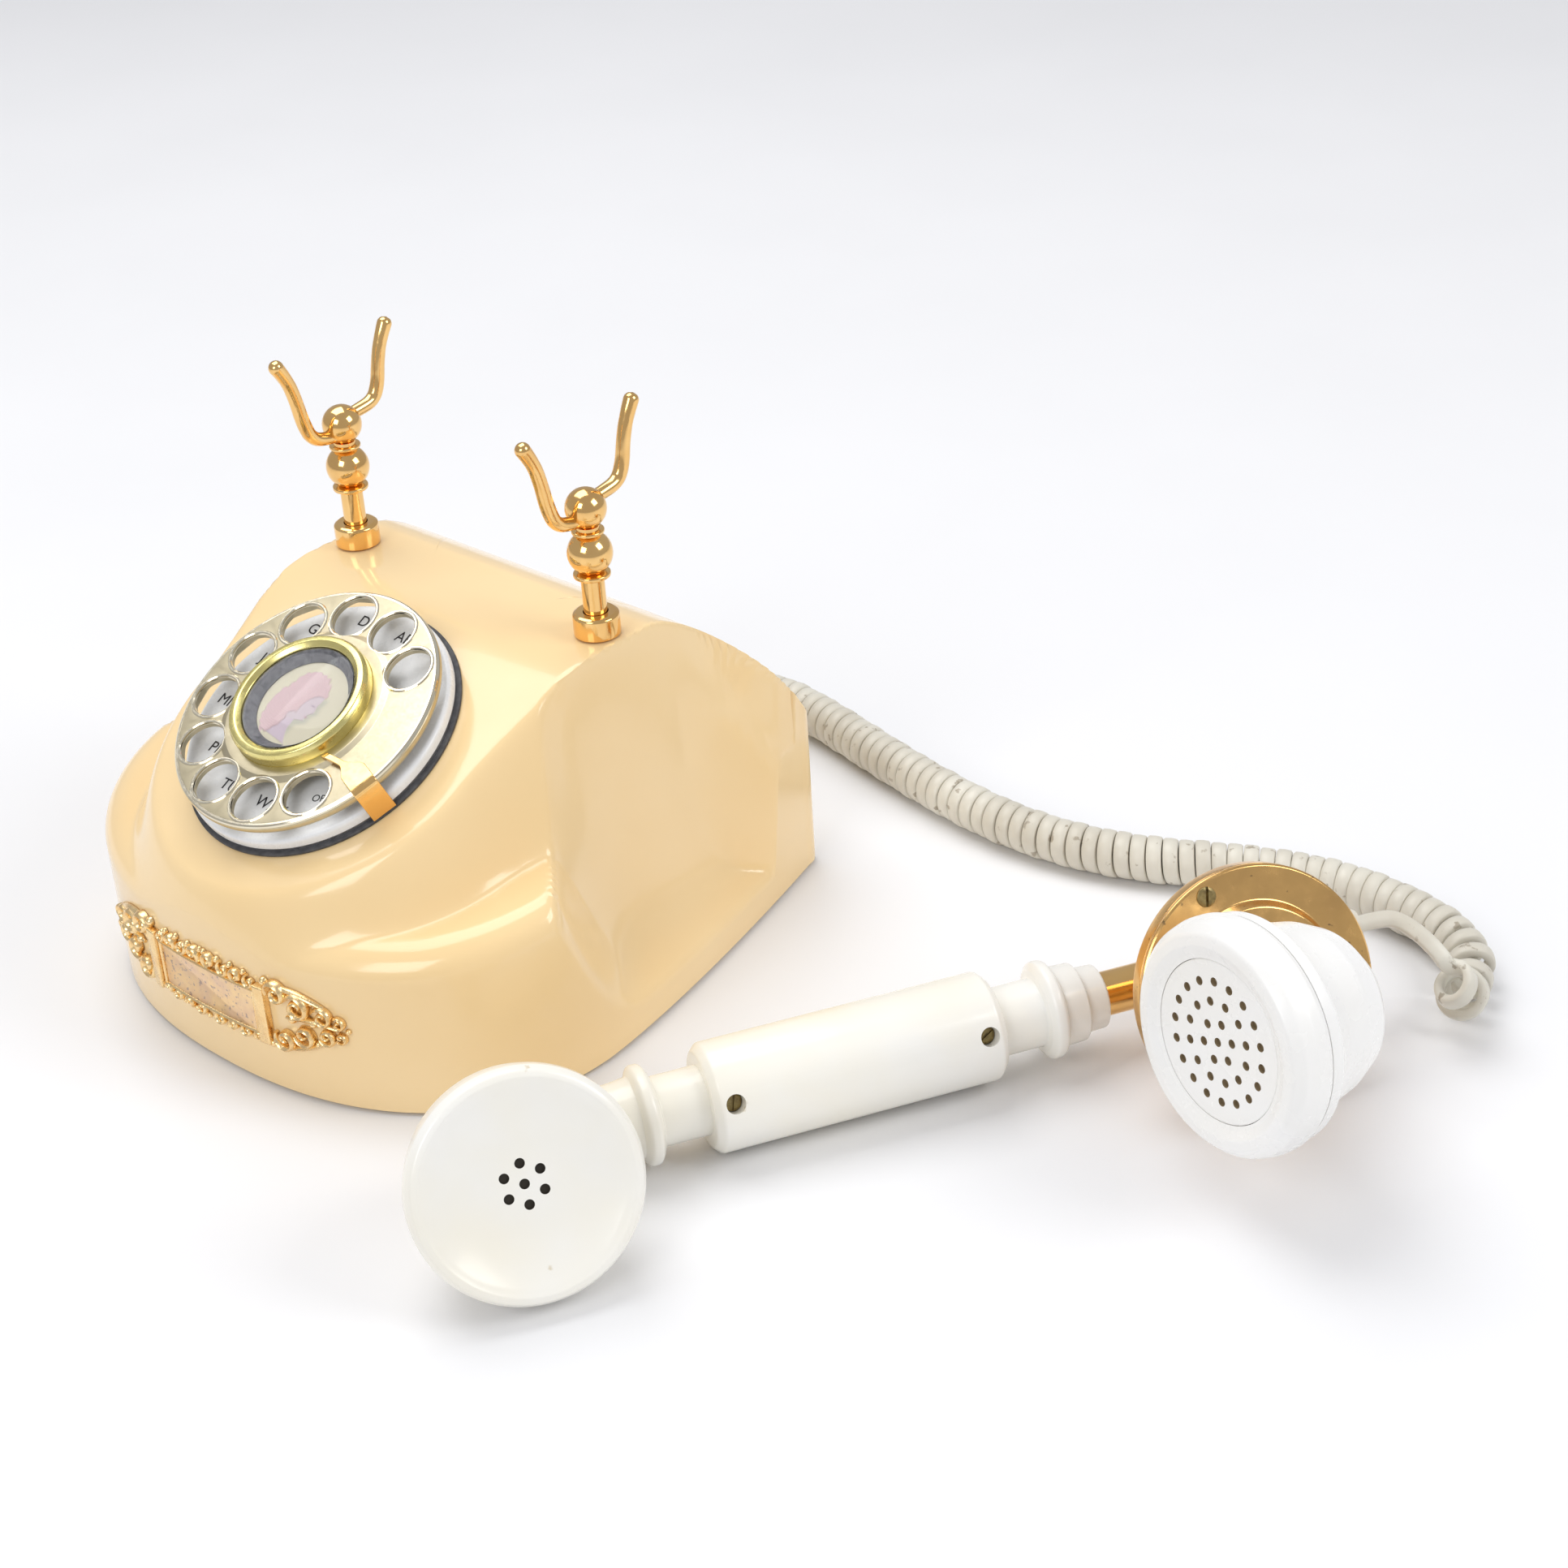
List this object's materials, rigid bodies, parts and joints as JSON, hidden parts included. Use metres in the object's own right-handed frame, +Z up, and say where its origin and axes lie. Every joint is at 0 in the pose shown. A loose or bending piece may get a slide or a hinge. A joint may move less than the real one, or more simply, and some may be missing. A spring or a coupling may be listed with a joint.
{
  "type": "novelty cradle telephone",
  "caption": "Rotary dial telephone in a vintage French style: a flared moulded base with two fork posts, a round dial, and a turned handset on a curly cord.",
  "frame": {"origin": "on the table under the base, on its centre line, under its rubber pad", "axes": "+X to the right of a person facing the dial, -Y towards that person, +Z up"},
  "size_m": [0.3504, 0.2817, 0.1569],
  "materials": {
    "shell_beige": "gloss",
    "ivory": "gloss",
    "gilt_brass": "satin",
    "chrome_gold": "polished",
    "wheel_clear": "gloss",
    "number_white": "satin",
    "seal_grey": "matte",
    "black_rubber": "matte",
    "zinc_steel": "satin",
    "cameo": "matte",
    "lens_clear": "gloss",
    "board_brown": "matte",
    "copper_coil": "satin",
    "cord_ivory": "satin"
  },
  "bodies": {
    "base": {"housing": "shell_beige", "base_plate": "zinc_steel", "base_screws": "zinc_steel", "base_pad": "black_rubber", "dial_gasket": "seal_grey", "dial_case": "zinc_steel", "number_plate": "number_white", "finger_stop": "gilt_brass", "left_collar": "gilt_brass", "right_collar": "gilt_brass", "front_escutcheon": "gilt_brass", "left_gong": "gilt_brass", "right_gong": "gilt_brass", "ringer_frame": "zinc_steel", "ringer_coils": "copper_coil", "network_board": "board_brown", "hook_switch": "zinc_steel", "cradle_bracket": "zinc_steel", "cradle_springs": "zinc_steel", "handset_cord_gland": "cord_ivory", "line_cord_grommet": "cord_ivory", "handset_cord": "cord_ivory", "cord_tail_base": "cord_ivory", "cord_tail_handset": "cord_ivory"},
    "dial": {"finger_wheel": "wheel_clear", "dial_bezel": "chrome_gold", "bezel_liner": "number_white", "cameo_card": "cameo", "cameo_lens": "lens_clear", "dial_shaft": "zinc_steel", "main_gear": "gilt_brass"},
    "governor": {"governor": "zinc_steel"},
    "cradle": {"left_stem": "gilt_brass", "right_stem": "gilt_brass", "left_fork": "gilt_brass", "right_fork": "gilt_brass", "cradle_yoke": "zinc_steel"},
    "clapper": {"clapper": "zinc_steel"},
    "handset": {"handle_sleeve": "ivory", "handle_screws": "gilt_brass", "transmitter_turning": "ivory", "receiver_turning": "ivory", "receiver_cup": "ivory", "receiver_cap": "ivory", "receiver_capsule": "zinc_steel", "connecting_rod": "gilt_brass", "transmitter_case": "gilt_brass", "transmitter_ring": "gilt_brass", "transmitter_capsule": "zinc_steel", "horn_elbow": "ivory", "horn_rim": "ivory", "horn_grille": "ivory", "ring_screws": "gilt_brass", "cord_ferrule": "cord_ivory"}
  },
  "joints": [
    {"name": "dial_spin", "type": "hinge", "parent": "base", "child": "dial", "pos_m": [0, -0.0429, 0.0874], "axis": [0, 0.4565, -0.8897], "range_deg": [0, 325], "stiffness_Nm_per_rad": 0.004, "springref_deg": -91.67},
    {"name": "governor_spin", "type": "hinge", "parent": "base", "child": "governor", "pos_m": [0.0193, -0.03377, 0.06961], "axis": [0, 0.4565, -0.8897], "range_deg": [-1760, 0]},
    {"name": "cradle_press", "type": "slide", "parent": "base", "child": "cradle", "axis": [0, 0, -1], "range_m": [0, 0.006], "stiffness_N_per_m": 200, "springref_m": -0.01, "deforming": ["cradle_springs"]},
    {"name": "clapper_swing", "type": "hinge", "parent": "base", "child": "clapper", "pos_m": [0, 0.034, 0.0185], "axis": [0, 0, 1], "range_deg": [-4, 4]},
    {"name": "handset_lift", "type": "slide", "parent": "base", "child": "handset", "axis": [0, 0, 1], "range_m": [0, 0.2]}
  ],
  "couplings": [
    {"joint": "governor_spin", "follows": "dial_spin", "ratio": -5.3333}
  ]
}
